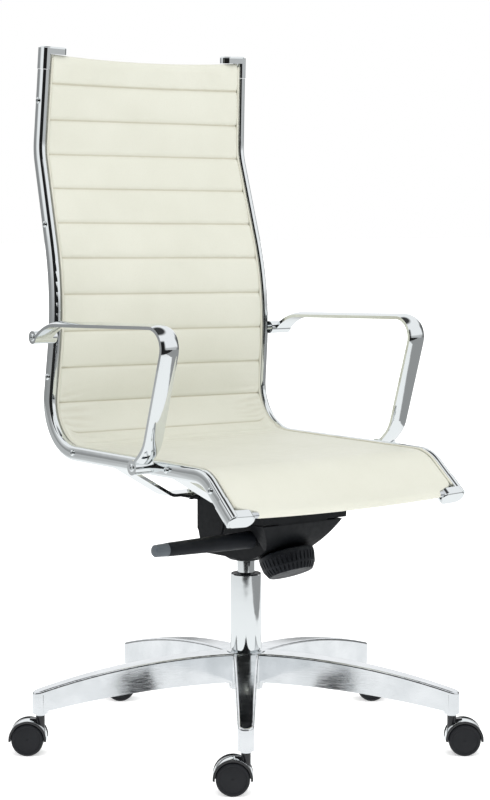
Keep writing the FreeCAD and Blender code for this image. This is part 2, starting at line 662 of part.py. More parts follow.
# ---------------------------------------------------------------- gas lift and column
def gas_cylinder():
    """Outer cylinder of the gas spring, with its valve bore at the top."""
    outer = cylinder(CYLINDER_R, Vector(0, 0, CYLINDER_BOTTOM), Vector(0, 0, CYLINDER_TOP))
    chamber = cylinder(CYLINDER_BORE_R, Vector(0, 0, CYLINDER_BOTTOM + 10), Vector(0, 0, CYLINDER_TOP - 50))
    rod_bore = cylinder(ROD_R + RUN_FIT, Vector(0, 0, CYLINDER_BOTTOM - 1), Vector(0, 0, CYLINDER_BOTTOM + 11))
    pin_bore = cylinder(PIN_R + RUN_FIT, Vector(0, 0, CYLINDER_TOP - 30), Vector(0, 0, CYLINDER_TOP + 1))
    return outer.cut(chamber).cut(rod_bore).cut(pin_bore)


def release_pin():
    """Valve pin that lets the gas spring move when it is pressed."""
    pin = cylinder(PIN_R, Vector(0, 0, CYLINDER_TOP - 22), Vector(0, 0, PIN_TOP))
    return pin.makeFillet(1, [e for e in pin.Edges if abs(e.CenterOfMass.z - PIN_TOP) < 0.1])


def piston_rod():
    """Rod and piston of the gas spring, held at the foot of the column."""
    return revolved([(0, 46), (ROD_R, 46), (ROD_R, 49.5), (ROD_R - 1, 49.5), (ROD_R - 1, 51.5), (ROD_R, 51.5),
                     (ROD_R, 262), (CYLINDER_BORE_R - 0.3, 262), (CYLINDER_BORE_R - 0.3, 274), (0, 274)])


def retaining_clip():
    """Spring clip in the rod's groove under the column."""
    ring = revolved([(ROD_R - 1, 49.6), (ROD_R + 4, 49.6), (ROD_R + 4, 51.4), (ROD_R - 1, 51.4)])
    return ring.cut(Part.makeBox(12, 4, 4, Vector(0, -2, 48.5)))


def thrust_bearing():
    """Bearing washer and raised ball track that the gas spring turns on."""
    outer_r, groove_r = 12, 10.5
    return revolved([(ROD_R, 57.2), (outer_r, 57.2), (outer_r, 59), (groove_r, 59), (groove_r, 62),
                     (outer_r, 62), (outer_r, 63.8), (ROD_R, 63.8)])


def column_tube():
    """Chromed outer tube: wide above the base, stepped down inside the hub, open at the top."""
    wall = COLUMN_WALL
    profile = [(ROD_R + 0.3, COLUMN_BOTTOM), (COLUMN_TAIL_R, COLUMN_BOTTOM), (COLUMN_TAIL_R, COLUMN_TAIL_TOP),
               (COLUMN_NECK_R, COLUMN_TAIL_TOP + 4), (COLUMN_NECK_R, COLUMN_SHOULDER - 4),
               (COLUMN_R, COLUMN_SHOULDER - 1), (COLUMN_R, COLUMN_TOP - 0.8), (COLUMN_R - 0.8, COLUMN_TOP),
               (COLUMN_R - wall, COLUMN_TOP), (COLUMN_R - wall, COLUMN_SHOULDER),
               (COLUMN_NECK_R - wall, COLUMN_SHOULDER - 4), (COLUMN_NECK_R - wall, COLUMN_TAIL_TOP + 4),
               (COLUMN_TAIL_R - wall, COLUMN_TAIL_TOP), (COLUMN_TAIL_R - wall, COLUMN_BOTTOM + 3),
               (ROD_R + 0.3, COLUMN_BOTTOM + 3)]
    return revolved(profile)


def column_bushing():
    """Plastic guide sleeve in the top of the column."""
    inner = CYLINDER_R + RUN_FIT
    outer = COLUMN_R - COLUMN_WALL
    return revolved([(inner, COLUMN_SHOULDER + 25), (outer, COLUMN_SHOULDER + 25), (outer, COLUMN_TOP),
                     (outer + 0.6, COLUMN_TOP), (outer + 0.6, COLUMN_TOP + 1.2), (inner + 1, COLUMN_TOP + 1.2),
                     (inner, COLUMN_TOP + 0.4)])


# ---------------------------------------------------------------- base and castors
def arc_height(apex, radius, r):
    """Height at radius r on an arc that is level at its apex."""
    return apex[1] - radius + math.sqrt(radius ** 2 - (r - apex[0]) ** 2)


def star_side(top, bottom):
    """Face of one base arm seen from the side, in the XZ plane, between two (apex, radius, shift) arcs."""
    inner_r, outer_r = 14, STEM_CIRCLE_R + TIP_R + 3

    def arc(apex, radius, shift):
        stations = (inner_r, (inner_r + outer_r) / 2, outer_r)
        return Part.Arc(*[Vector(r, 0, arc_height(apex, radius, r) + shift) for r in stations]).toShape()

    arcs = [arc(*top), arc(*bottom)]
    ends = [Part.LineSegment(arcs[0].Vertexes[k].Point, arcs[1].Vertexes[k].Point).toShape() for k in (0, 1)]
    return Part.Face(Part.Wire(Part.__sortEdges__(arcs + ends)))


def star_plan(inset):
    """Tall tapered block with a round end: the outline of one arm seen from above."""
    root, tip = STAR_ROOT_HALF - inset, STAR_TIP_HALF - inset
    end_r = STEM_CIRCLE_R
    outline = Part.Wire([
        Part.LineSegment(Vector(10, -root, 40), Vector(end_r, -tip, 40)).toShape(),
        Part.Arc(Vector(end_r, -tip, 40), Vector(end_r + tip, 0, 40), Vector(end_r, tip, 40)).toShape(),
        Part.LineSegment(Vector(end_r, tip, 40), Vector(10, root, 40)).toShape(),
        Part.LineSegment(Vector(10, root, 40), Vector(10, -root, 40)).toShape(),
    ])
    return Part.Face(outline).extrude(Vector(0, 0, 140))


def star_arm():
    """One arm of the base along +X: a rounded top flange over a narrower web, ending in the stem socket."""
    half = STAR_ROOT_HALF + 5

    def slab(top, bottom):
        solid = star_side(top, bottom).extrude(Vector(0, 2 * half, 0))
        solid.translate(Vector(0, -half, 0))
        return solid

    crest = (ARM_TOP_APEX, ARM_TOP_ARC_R)
    web = slab((*crest, -3), (ARM_BOTTOM_APEX, ARM_BOTTOM_ARC_R, 0)).common(star_plan(WEB_INSET))
    flange = slab((*crest, 0), (*crest, -FLANGE_DEPTH)).common(star_plan(0))
    broad_faces = sorted(flange.Faces, key=lambda face: face.Area)[-2:]
    top_face = max(broad_faces, key=lambda face: face.CenterOfMass.z)
    rim = [e for e in top_face.Edges if e.CenterOfMass.x > 20]
    flange = flange.makeFillet(FLANGE_ROUNDING, rim)
    socket = cylinder(TIP_R, Vector(STEM_CIRCLE_R, 0, TIP_BOTTOM), Vector(STEM_CIRCLE_R, 0, TIP_TOP - 3))
    nose = cylinder(NOSE_R, Vector(STEM_CIRCLE_R, 0, NOSE_BOTTOM), Vector(STEM_CIRCLE_R, 0, TIP_BOTTOM + 1))
    nub_z = arc_height(ARM_BOTTOM_APEX, ARM_BOTTOM_ARC_R, NUB_CIRCLE_R)
    nub = cylinder(NUB_R, Vector(NUB_CIRCLE_R, 0, nub_z - 2.5), Vector(NUB_CIRCLE_R, 0, nub_z + 6))
    return fused([web, flange, socket, nose, nub])


def base_star():
    """Cast aluminium five-star base with its hub and stem sockets."""
    arm = star_arm()
    pieces = [cone(HUB_RING_R, HUB_R, Vector(0, 0, HUB_RING_BOTTOM), Vector(0, 0, HUB_TOP))]
    for k in range(STAR_ARMS):
        turned = arm.copy()
        turned.rotate(ORIGIN, Z_AXIS, STAR_FIRST_DEG + k * 360 / STAR_ARMS)
        pieces.append(turned)
        between = math.radians(STAR_FIRST_DEG + (k + 0.5) * 360 / STAR_ARMS)
        foot = Vector(BOSS_CIRCLE_R * math.cos(between), BOSS_CIRCLE_R * math.sin(between), BOSS_BOTTOM)
        pieces.append(cylinder(BOSS_R, foot, foot + Z_AXIS * BOSS_HEIGHT))
    star = fused(pieces)
    seat = revolved([(0, 40), (COLUMN_NECK_R, 40), (COLUMN_NECK_R, COLUMN_SHOULDER - 4),
                     (COLUMN_R, COLUMN_SHOULDER - 1), (COLUMN_R, 200), (0, 200)])
    star = star.cut(seat)
    for k in range(STAR_ARMS):
        spot = stem_spot(k)
        star = star.cut(cylinder(STEM_R + RUN_FIT, spot + Z_AXIS * (NOSE_BOTTOM - 1), spot + Z_AXIS * 96))
    return star


def stem_spot(index):
    """Point on the floor under one castor stem."""
    heading = math.radians(STAR_FIRST_DEG + index * 360 / STAR_ARMS)
    return Vector(STEM_CIRCLE_R * math.cos(heading), STEM_CIRCLE_R * math.sin(heading), 0)


def castor_hood():
    """Central fin, two fenders and the neck of a twin-wheel castor, trailing along +X from its stem."""
    centre = Vector(CASTOR_TRAIL, 0, WHEEL_R)

    def across(radius, y_from, y_to):
        return cylinder(radius, centre + Y_AXIS * y_from, centre + Y_AXIS * y_to)

    crown = across(HOOD_OUTER_R, -HOOD_HALF_WIDTH + 1, HOOD_HALF_WIDTH - 1)
    beads = []
    for side in (-1, 1):
        bead = across(HOOD_OUTER_R + HOOD_BEAD, side * (HOOD_HALF_WIDTH - HOOD_BEAD_WIDTH),
                      side * HOOD_HALF_WIDTH)
        beads.append(bead.makeFillet(HOOD_BEAD, bead.Edges[:1] + bead.Edges[-1:]))
    shell = fused([crown] + beads)
    for y0, y1 in ((-HOOD_HALF_WIDTH - 1, -FIN_HALF), (FIN_HALF, HOOD_HALF_WIDTH + 1)):
        shell = shell.cut(across(HOOD_INNER_R, y0, y1))
    below = Part.makeBox(90, 60, 40, Vector(-30, -30, HOOD_LOW_Z - 40))
    shell = shell.cut(below)
    fin_boss = across(AXLE_R + 4, -FIN_HALF, FIN_HALF)
    neck = cylinder(NECK_R, Vector(0, 0, WHEEL_R + 4), Vector(0, 0, NECK_TOP))
    brace = Part.makeBox(16, 2 * FIN_HALF + 3, 22, Vector(0, -FIN_HALF - 1.5, 34))
    clear = [across(HOOD_INNER_R, y0, y1) for y0, y1 in ((-30, -FIN_HALF), (FIN_HALF, 30))]
    neck = fused([neck, brace]).cut(clear[0]).cut(clear[1])
    hood = fused([shell, fin_boss] + [max(neck.Solids, key=lambda piece: piece.Volume)])
    hood = hood.cut(castor_stem())
    return hood.cut(across(AXLE_R, -40, 40))


def castor_stem():
    """Steel swivel pin of a castor."""
    return revolved([(0, 36), (FIN_HALF - 0.5, 36), (FIN_HALF - 0.5, STEM_STEP_Z), (STEM_R, STEM_STEP_Z),
                     (STEM_R, 92), (STEM_R - 1.5, 94), (0, 94)])


def castor_axle():
    """Steel cross pin through the fin and both wheels."""
    centre = Vector(CASTOR_TRAIL, 0, WHEEL_R)
    return cylinder(AXLE_R, centre - Y_AXIS * 17, centre + Y_AXIS * 17)


def castor_wheel(side):
    """One of the twin wheels: dished outer face, blind bore for the axle."""
    bore_r = AXLE_R + RUN_FIT
    inner, outer = WHEEL_INNER_FACE, WHEEL_OUTER_FACE
    profile = [(bore_r, inner), (WHEEL_R - 2, inner), (WHEEL_R, inner + 2), (WHEEL_R, outer - 3.5),
               (WHEEL_R - 1, outer - 1), (WHEEL_R - 3, outer), (WHEEL_R - 4.5, outer - 0.2),
               (WHEEL_R - 5.5, outer - 1.2), (0, outer - 0.4), (0, 17.5), (bore_r, 17.5)]
    return revolved(profile, Vector(CASTOR_TRAIL, 0, WHEEL_R), Y_AXIS * side)


def place_castor(shape, index):
    """Turn a castor piece to its heading and move it under its stem socket."""
    heading = CASTOR_HEADING_DEG + (0 if CASTOR_TRAIL_SIGNS[index] > 0 else 180)
    placed = shape.copy()
    turn = FreeCAD.Rotation(Z_AXIS, heading)
    placed.Placement = FreeCAD.Placement(stem_spot(index), turn).multiply(placed.Placement)
    return placed


# ---------------------------------------------------------------- assembly
def build_seat():
    """Rails, caps, sling, straps, armrests and their fasteners."""
    screws = rail_screw_set()
    rail = flat_rail()
    for screw in screws:
        rail = rail.cut(screw)
    rail = leaned(rail)
    bolts = arm_bolt_set()
    arm = armrest()
    for bolt in bolts:
        arm = arm.cut(bolt)
        rail = rail.cut(bolt)
    caps = {"top": leaned(end_cap("top", TOP_CAP_LENGTH)), "front": leaned(end_cap("front", FRONT_CAP_LENGTH))}
    rails = {name: on_side(rail, side) for name, side in SIDES.items()}
    strap_bolts = []
    for name, y in STRAP_Y.items():
        band = strap(y, list(rails.values()))
        for side in SIDES.values():
            bolt = button_screw(Vector(side * EAR_X, y, STRAP_Z + STRAP_THICKNESS), Z_AXIS, 6.5, 4, 4, 14)
            strap_bolts.append(bolt)
            band = band.cut(bolt)
        save(name + "_strap", band)
    plate = seat_plate()
    for bolt in strap_bolts:
        plate = plate.cut(bolt)
    save("seat_plate", plate)
    save("strap_bolts", Part.makeCompound(strap_bolts))
    for name, side in SIDES.items():
        save("rail_" + name, rails[name])
        save("arm_" + name, on_side(arm, side))
        for end, cap in caps.items():
            save(end + "_cap_" + name, on_side(cap, side))
    for end, cap in caps.items():
        save(end + "_crossbar", crossbar(end, [cap, on_side(cap, -1)]))
    all_caps = [on_side(cap, side) for cap in caps.values() for side in SIDES.values()]
    save("leather_sling", leather_sling(all_caps))
    save("back_stretcher", back_stretcher())
    placed_screws = [on_side(leaned(screw), side) for screw in screws for side in SIDES.values()]
    save("rail_screws", Part.makeCompound(placed_screws))
    save("arm_bolts", Part.makeCompound([on_side(bolt, side) for bolt in bolts for side in SIDES.values()]))


def build_mechanism():
    """Tilt mechanism, lever, knob and gas lift."""
    for piece in (mechanism_housing, tilt_axle, tension_spring, tension_bolt, tension_knob, lift_lever,
                  lever_tip, lever_rod, gas_cylinder, release_pin, piston_rod, retaining_clip, thrust_bearing,
                  column_tube, column_bushing):
        save(piece.__name__, piece())


def build_base():
    """Five-star base and its castors."""
    save("base_star", base_star())
    pieces = {"castor_hood": castor_hood(), "castor_stem": castor_stem(), "castor_axle": castor_axle(),
              "castor_wheel_a": castor_wheel(1), "castor_wheel_b": castor_wheel(-1)}
    for index in range(STAR_ARMS):
        for name, shape in pieces.items():
            save(f"{name}_{index + 1}", place_castor(shape, index))


os.makedirs("parts", exist_ok=True)
build_seat()
build_mechanism()
build_base()
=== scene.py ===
"""Looks of the swivel office chair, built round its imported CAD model. Metres, +Z up, origin on the floor."""
import json
import math

import bmesh
import bpy
import numpy as np
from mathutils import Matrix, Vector


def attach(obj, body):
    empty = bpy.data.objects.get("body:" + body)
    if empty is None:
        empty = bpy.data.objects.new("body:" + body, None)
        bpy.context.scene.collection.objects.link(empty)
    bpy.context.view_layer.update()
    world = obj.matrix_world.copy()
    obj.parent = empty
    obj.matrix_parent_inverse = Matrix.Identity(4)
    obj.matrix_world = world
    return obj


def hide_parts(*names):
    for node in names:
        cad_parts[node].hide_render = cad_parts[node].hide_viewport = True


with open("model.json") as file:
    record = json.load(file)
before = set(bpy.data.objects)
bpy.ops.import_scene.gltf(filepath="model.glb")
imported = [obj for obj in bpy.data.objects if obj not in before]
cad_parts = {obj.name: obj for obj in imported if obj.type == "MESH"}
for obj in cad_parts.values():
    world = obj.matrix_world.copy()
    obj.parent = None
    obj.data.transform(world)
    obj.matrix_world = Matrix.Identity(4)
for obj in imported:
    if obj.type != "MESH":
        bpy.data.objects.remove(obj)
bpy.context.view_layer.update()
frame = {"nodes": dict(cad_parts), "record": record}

MM = 0.001
SCENE = bpy.context.scene

# ---------------------------------------------------------------- driving sizes, in millimetres as in the CAD
RAIL_POINTS = [(272, 1073), (281, 942), (218, 708), (245, 463), (-187, 458.5), (-226, 424)]
RAIL_RADII = [100, 480, 82, 52]
RAIL_X = 223.05
RAIL_HALF_WIDTH = 7
RAIL_PIVOT_Z = 430
RAIL_LEAN = math.radians(1.82)
RAIL_TOE = math.radians(0.49)
SLING_OFFSET = 5            # middle surface in front of the rail's centre line
SLING_EDGE_GAP = 0.5
SLING_TOP_REACH = 24.8      # past the rail's upper end
SLING_FRONT_REACH = 38.5    # past the rail's front end
HEM_HALF_WIDTH = 184.5      # the front hem passes between the two cap feet
HEM_NOTCH = 12.5
WRINKLES_FROM = 500         # the ribs below this row are wrinkled near the rails
SEAM_SKEW = 6.5             # the lower seams run this much higher at the sitter's right
FRONT_DROOP = 4.5           # the front hem reaches this much further in its middle
TOP_SAG = 7                 # the top edge hangs this much lower in its middle
BAR_SPOT = {"top": 21.8, "front": 5.3}    # crossbars, from the sling's ends

SEAM_FIRST = 47.8           # first sewn seam, from the top edge along the sling
SEAM_PITCH = 58.6
SEAM_COUNT = 10             # evenly spaced seams, before the last one
SEAM_LAST = 636
PAD_HALF = 4.0              # half thickness beside a seam
PAD_CROWN = 2.9             # extra half thickness in the middle of a rib
SEAT_CROWN = 0.5            # share of that crown over the plain seat
BAR_HALF = 6.8              # half thickness over a crossbar
BAR_SPREAD = 9
GROOVE_DEPTH = 1.9
GROOVE_WIDTH = 2.2
SEAM_SHADE_WIDTH = 1.1          # of the painted shade line down in a groove
STITCHED_NEAR = 1.6         # points this near to a seam are sewn down
END_ROUNDING = 7            # of the hems' ends
SIDE_ROUNDING = 5           # of the edges beside the rails
GATHER_DEPTH = 9            # the last seam ends this much nearer the top at the rails
GATHER_SPREAD = 22
FOLD_DEPTH = 1.7            # small folds beside the rails, on the lowest ribs
FOLD_PITCH = 13
FOLDS_AT, FOLDS_SPREAD = 600, 44
SLACK_DEPTH = 1.0           # slack lines across the seat's rear
SLACK_PITCH = 21
SLACK_AT, SLACK_SPREAD = 692, 42
SLACK_ROWS_LENGTH = 110     # closely spaced rows past the last seam
SLING_COLUMNS = 61
CLOTH_FRAMES = 16
PIPING_R = 1.9
PIPING_SIDES = 10
PIPING_ROWS = 300
PIPING_END_GAP = 6
PIPING_PROUD = 0.6          # its centre in front of the sling's half thickness

STAR_FIRST_DEG = -128.42
STAR_ARMS = 5
STEM_CIRCLE_R = 338
CASTOR_HEADING = math.radians(-38.42)
CASTOR_TRAIL_SIGNS = [-1, 1, 1, -1, -1]
CASTOR_TRAIL = 19
WHEEL_R = 25
CROWN_INNER_R = 28.0
CROWN_OUTER_R = 29.2
CROWN_HALF = 15.6
CROWN_EDGE_DROP = 0.3       # the strip is this much lower at its edges
CROWN_EDGE = 0.6
CROWN_RISE = 0.25           # and this much higher along its middle
CROWN_FROM_DEG, CROWN_TO_DEG = -4, 184
CROWN_STEPS = 49

CAMERA_AZIMUTH = math.radians(-38.42)
CAMERA_DISTANCE = 3.430
CAMERA_HEIGHT = 0.851
CAMERA_PITCH = math.radians(5.085)
CAMERA_LENS = 97.37
CAMERA_SHIFT_X = -1 / 800

# ---------------------------------------------------------------- studio sizes, in metres
FLOOR_HALF = 40
SURROUND_RADIUS = 8
GLOW_FLOOR_HALF = 7.9
GLOW_FLOOR_LIFT = 0.0015
PAPER_FADE = (0.8, 2.8)         # from the chair, where the paper's reflection darkens
PAPER_RIGHT_EDGE = (0.98, 1.05)
PAPER_FRONT_EDGE = (1.3, 1.55)


# ---------------------------------------------------------------- small tools
def smooth(low, high, x):
    """0 below low, 1 above high, smooth in between."""
    t = np.clip((x - low) / (high - low), 0, 1)
    return t * t * (3 - 2 * t)


def add_object(name, data):
    made = bpy.data.objects.new(name, data)
    SCENE.collection.objects.link(made)
    return made


def mesh_object(name, vertices, faces, material):
    """Smooth-shaded mesh object from arrays in metres."""
    mesh = bpy.data.meshes.new(name)
    mesh.from_pydata([tuple(v) for v in vertices], [], [tuple(int(i) for i in f) for f in faces])
    mesh.update()
    mesh.polygons.foreach_set("use_smooth", [True] * len(mesh.polygons))
    mesh.materials.append(material)
    return add_object(name, mesh)


def flat_square(name, half, height, material):
    """Level square round the Z axis."""
    corners = [(-half, -half, height), (half, -half, height), (half, half, height), (-half, half, height)]
    return mesh_object(name, corners, [(0, 1, 2, 3)], material)


def aim(thing, target):
    thing.rotation_euler = (Vector(target) - thing.location).to_track_quat("-Z", "Y").to_euler()


def set_span(node, limits):
    """Limits of a Map Range node: from low, from high, to low, to high."""
    for socket, value in zip(("From Min", "From Max", "To Min", "To Max"), limits):
        node.inputs[socket].default_value = value


def feed_colours(tree, node, colours):
    """Colours or sources of colour for the two inputs of a Mix node."""
    for socket, colour in zip((node.inputs["A"], node.inputs["B"]), colours):
        if isinstance(colour, tuple):
            socket.default_value = (*colour, 1)
        else:
            tree.links.new(colour, socket)


# ---------------------------------------------------------------- materials
class Finish:
    """A Principled material and the few node patterns that all finishes are made from."""

    def __init__(self, name, colour, roughness, metallic=0.0):
        self.material = bpy.data.materials.new(name)
        self.material.use_nodes = True
        self.tree = self.material.node_tree
        self.shader = self.tree.nodes["Principled BSDF"]
        self.set("Base Color", (*colour, 1))
        self.set("Roughness", roughness)
        self.set("Metallic", metallic)
        self.place = self.tree.nodes.new("ShaderNodeTexCoord").outputs["Object"]
        self.normal = None

    def set(self, socket, value):
        self.shader.inputs[socket].default_value = value

    def stretched(self, scale):
        """Object coordinates, scaled apart along X, Y and Z."""
        node = self.tree.nodes.new("ShaderNodeMapping")
        node.inputs["Scale"].default_value = scale
        self.tree.links.new(self.place, node.inputs["Vector"])
        return node.outputs["Vector"]

    def noise(self, scale, detail=2.0, place=None):
        node = self.tree.nodes.new("ShaderNodeTexNoise")
        node.inputs["Scale"].default_value = scale
        node.inputs["Detail"].default_value = detail
        self.tree.links.new(place or self.place, node.inputs["Vector"])
        return node.outputs["Fac"]

    def cells(self, scale, place=None):
        """Distance to the nearest cell wall: pebbled grain."""
        node = self.tree.nodes.new("ShaderNodeTexVoronoi")
        node.feature = "DISTANCE_TO_EDGE"
        node.inputs["Scale"].default_value = scale
        self.tree.links.new(place or self.place, node.inputs["Vector"])
        return node.outputs["Distance"]

    def attribute(self, name):
        node = self.tree.nodes.new("ShaderNodeAttribute")
        node.attribute_name = name
        return node.outputs["Fac"]

    def span(self, source, from_low, from_high, to_low, to_high):
        node = self.tree.nodes.new("ShaderNodeMapRange")
        self.tree.links.new(source, node.inputs["Value"])
        set_span(node, (from_low, from_high, to_low, to_high))
        return node.outputs["Result"]

    def mixed(self, factor, colour_a, colour_b):
        node = self.tree.nodes.new("ShaderNodeMix")
        node.data_type = "RGBA"
        self.tree.links.new(factor, node.inputs["Factor"])
        feed_colours(self.tree, node, (colour_a, colour_b))
        return node.outputs["Result"]

    def bump(self, height, distance, strength=1.0):
        """Adds one layer of relief; distance is its height in metres."""
        node = self.tree.nodes.new("ShaderNodeBump")
        node.inputs["Distance"].default_value = distance
        node.inputs["Strength"].default_value = strength
        self.tree.links.new(height, node.inputs["Height"])
        if self.normal is not None:
            self.tree.links.new(self.normal, node.inputs["Normal"])
        self.normal = node.outputs["Normal"]
        self.tree.links.new(self.normal, self.shader.inputs["Normal"])

    def drive(self, socket, source):
        self.tree.links.new(source, self.shader.inputs[socket])


def leather():
    """Soft cream leather: fine pebbled grain, faint tone changes, painted shade down in the seams' grooves and
    in the folds' creases.
    """
    made = Finish("cream_leather", (0.64, 0.645, 0.57), 0.5)
    made.set("Specular IOR Level", 0.42)
    made.set("Sheen Weight", 0.12)
    made.set("Sheen Roughness", 0.4)
    patches = made.span(made.noise(9, 3), 0.35, 0.65, 0, 1)
    tone = made.mixed(patches, (0.635, 0.638, 0.55), (0.663, 0.666, 0.58))
    pores = made.span(made.cells(620), 0.0, 0.12, 1, 0)
    tone = made.mixed(made.span(pores, 0, 1, 0, 0.18), tone, (0.5, 0.49, 0.4))
    # painted shade: the seam attribute darkens the seams' grooves and the folds' creases
    tone = made.mixed(made.attribute("seam"), tone, (0.42, 0.385, 0.28))
    made.drive("Base Color", tone)
    made.drive("Roughness", made.span(made.noise(55, 4), 0.3, 0.7, 0.43, 0.56))
    made.bump(made.noise(38, 3), 0.0006)
    made.bump(made.span(made.cells(620), 0, 0.25, 0, 1), 0.00012)
    made.bump(made.noise(2400, 2), 0.00004)
    return made.material


def piping_leather_painted_shade():
    """Same hide, turned over a cord, coloured darker along the edge as painted shade beside the rail."""
    made = Finish("piping_leather_painted_shade", (0.7, 0.7, 0.61), 0.55)
    patches = made.span(made.noise(20, 3), 0.35, 0.65, 0, 1)
    # painted shade: darker tones than the sling's leather
    made.drive("Base Color", made.mixed(patches, (0.57, 0.56, 0.47), (0.63, 0.625, 0.54)))
    made.bump(made.cells(620), 0.00015)
    return made.material


def chrome():
    """Bright plating over polished steel: mirror gloss with the slightest waviness and handling haze."""
    made = Finish("chrome", (0.8, 0.825, 0.83), 0.05, 1.0)
    made.drive("Roughness", made.span(made.noise(14, 4), 0.35, 0.75, 0.03, 0.09))
    made.bump(made.noise(26, 2), 0.00018)
    return made.material


def polished_aluminium():
    """Buffed casting: soft-edged reflections, fine buffing lines, small tone changes."""
    made = Finish("polished_aluminium", (0.74, 0.76, 0.775), 0.14, 1.0)
    lines = made.noise(60, 4, made.stretched((1, 1, 14)))
    made.drive("Roughness", made.span(lines, 0.3, 0.7, 0.08, 0.2))
    patches = made.span(made.noise(18, 3), 0.35, 0.65, 0, 1)
    made.drive("Base Color", made.mixed(patches, (0.72, 0.74, 0.755), (0.83, 0.845, 0.86)))
    made.bump(made.noise(11, 2), 0.0007)
    made.bump(lines, 0.00003)
    return made.material


def bright_steel():
    """Ground and zinc-bright steel of screws, pins and the piston."""
    made = Finish("bright_steel", (0.66, 0.68, 0.7), 0.22, 1.0)
    made.drive("Roughness", made.span(made.noise(300, 3), 0.3, 0.7, 0.15, 0.32))
    made.bump(made.noise(900, 2), 0.00002)
    return made.material


def black_metal():
    """Fine-textured black powder coat."""
    made = Finish("black_powder_coat", (0.012, 0.013, 0.015), 0.5)
    made.set("Specular IOR Level", 0.15)
    made.drive("Roughness", made.span(made.noise(120, 3), 0.3, 0.7, 0.42, 0.58))
    made.drive("Base Color", made.mixed(made.noise(40, 3), (0.004, 0.005, 0.006), (0.009, 0.01, 0.012)))
    made.bump(made.noise(1500, 3), 0.00008)
    return made.material


def black_plastic():
    """Moulded black nylon with a soft spark-eroded texture."""
    made = Finish("black_plastic", (0.014, 0.015, 0.018), 0.42)
    made.set("Specular IOR Level", 0.18)
    made.drive("Roughness", made.span(made.noise(90, 3), 0.3, 0.7, 0.34, 0.5))
    made.drive("Base Color", made.mixed(made.noise(60, 2), (0.004, 0.005, 0.007), (0.01, 0.012, 0.016)))
    made.bump(made.noise(2200, 2), 0.00005)
    return made.material


def grey_plastic():
    """Blue-grey moulded plastic of the lever's button."""
    made = Finish("grey_plastic", (0.07, 0.085, 0.1), 0.3)
    made.drive("Base Color", made.mixed(made.noise(80, 2), (0.055, 0.068, 0.08), (0.09, 0.105, 0.12)))
    made.bump(made.noise(1800, 2), 0.00004)
    return made.material


def castor_body():
    """Glossy black nylon of the castor hoods."""
    made = Finish("castor_body", (0.01, 0.01, 0.012), 0.16)
    made.drive("Roughness", made.span(made.noise(70, 3), 0.3, 0.7, 0.1, 0.24))
    made.bump(made.noise(160, 2), 0.00005)
    return made.material


def castor_tread():
    """Dull black polyurethane of the wheels, lightly scuffed."""
    made = Finish("castor_tread", (0.011, 0.012, 0.014), 0.5)
    made.set("Specular IOR Level", 0.25)
    made.drive("Roughness", made.span(made.noise(45, 4), 0.3, 0.7, 0.4, 0.62))
    made.drive("Base Color", made.mixed(made.noise(90, 4), (0.007, 0.008, 0.01), (0.014, 0.015, 0.018)))
    made.bump(made.noise(700, 3), 0.00006)
    return made.material


SLOT_FINISH = {
    "chrome": chrome(), "polished_aluminium": polished_aluminium(), "steel": bright_steel(),
    "black_metal": black_metal(), "black_plastic": black_plastic(), "grey_plastic": grey_plastic(),
    "castor_body": castor_body(), "castor_wheel": castor_tread(), "leather": leather(),
}
PIPING_PAINTED_SHADE_FINISH = piping_leather_painted_shade()


def dress_cad_nodes():
    """Every carried-over CAD node takes the finish of its material slot in the record."""
    slots = {part["node"]: part["material_slot"] for part in frame["record"]["subparts"]}
    for name, node in frame["nodes"].items():
        node.data.materials.clear()
        node.data.materials.append(SLOT_FINISH[slots[name]])


# ---------------------------------------------------------------- camera, floor and light
def set_camera():
    camera = add_object("camera", bpy.data.cameras.new("camera"))
    side, back = math.sin(CAMERA_AZIMUTH), -math.cos(CAMERA_AZIMUTH)
    camera.location = (CAMERA_DISTANCE * side, CAMERA_DISTANCE * back, CAMERA_HEIGHT)
    camera.rotation_euler = (math.pi / 2 - CAMERA_PITCH, 0, CAMERA_AZIMUTH)
    camera.data.lens = CAMERA_LENS
    camera.data.shift_x = CAMERA_SHIFT_X
    SCENE.camera = camera


def lay_floor():
    finish = Finish("floor_paper", (0.93, 0.93, 0.93), 0.9)
    finish.set("Specular IOR Level", 0.1)
    finish.set("Emission Color", (1, 1, 1, 1))
    finish.set("Emission Strength", 0.4)
    finish.drive("Base Color", finish.mixed(finish.noise(0.7), (0.92, 0.92, 0.92), (0.95, 0.95, 0.95)))
    flat_square("floor", FLOOR_HALF, 0, finish.material)


def light_studio():
    """Even white light all round, a little stronger from above and in front."""
    world = bpy.data.worlds.new("studio")
    world.use_nodes = True
    world.node_tree.nodes["Background"].inputs["Color"].default_value = (1, 1, 1, 1)
    world.node_tree.nodes["Background"].inputs["Strength"].default_value = 1.0
    SCENE.world = world
    SCENE.view_settings.view_transform = "Standard"
    light = add_object("overhead_light", bpy.data.lights.new("overhead_light", "SUN"))
    light.data.energy = 0.95
    light.data.angle = math.radians(60)
    light.location = (-0.8, -1.1, 3.4)
    light.visible_glossy = False
    aim(light, (0, 0, 0.5))


# What bright metal sees round it, laid in turn over a white surround: heading from and to, in degrees from
# the camera's side (positive to its right), elevation from and to, softness of the edges and brightness.
SURROUND_PANELS = [
    (-180, 180, -30, 7, 4, 0.34),
    (38, 104, -30, 8, 5, 0.55),
    (-152, -106, -30, 18, 6, 0.3),
    (-76, 36, -30, 38, 5, 0.015),
    (116, 148, -3, 30, 5, 0.14),
    (-180, 180, 66, 95, 6, 0.05),
]


def compass(heading, elevation):
    """Unit vector at a heading from the camera's side and an elevation, in degrees."""
    azimuth, height = CAMERA_AZIMUTH + math.radians(heading), math.radians(elevation)
    return (math.sin(azimuth) * math.cos(height), -math.cos(azimuth) * math.cos(height), math.sin(height))


def hide_from_all_but_gloss(thing):
    thing.visible_camera = False
    thing.visible_diffuse = False
    thing.visible_shadow = False
    thing.visible_transmission = False
    thing.visible_volume_scatter = False


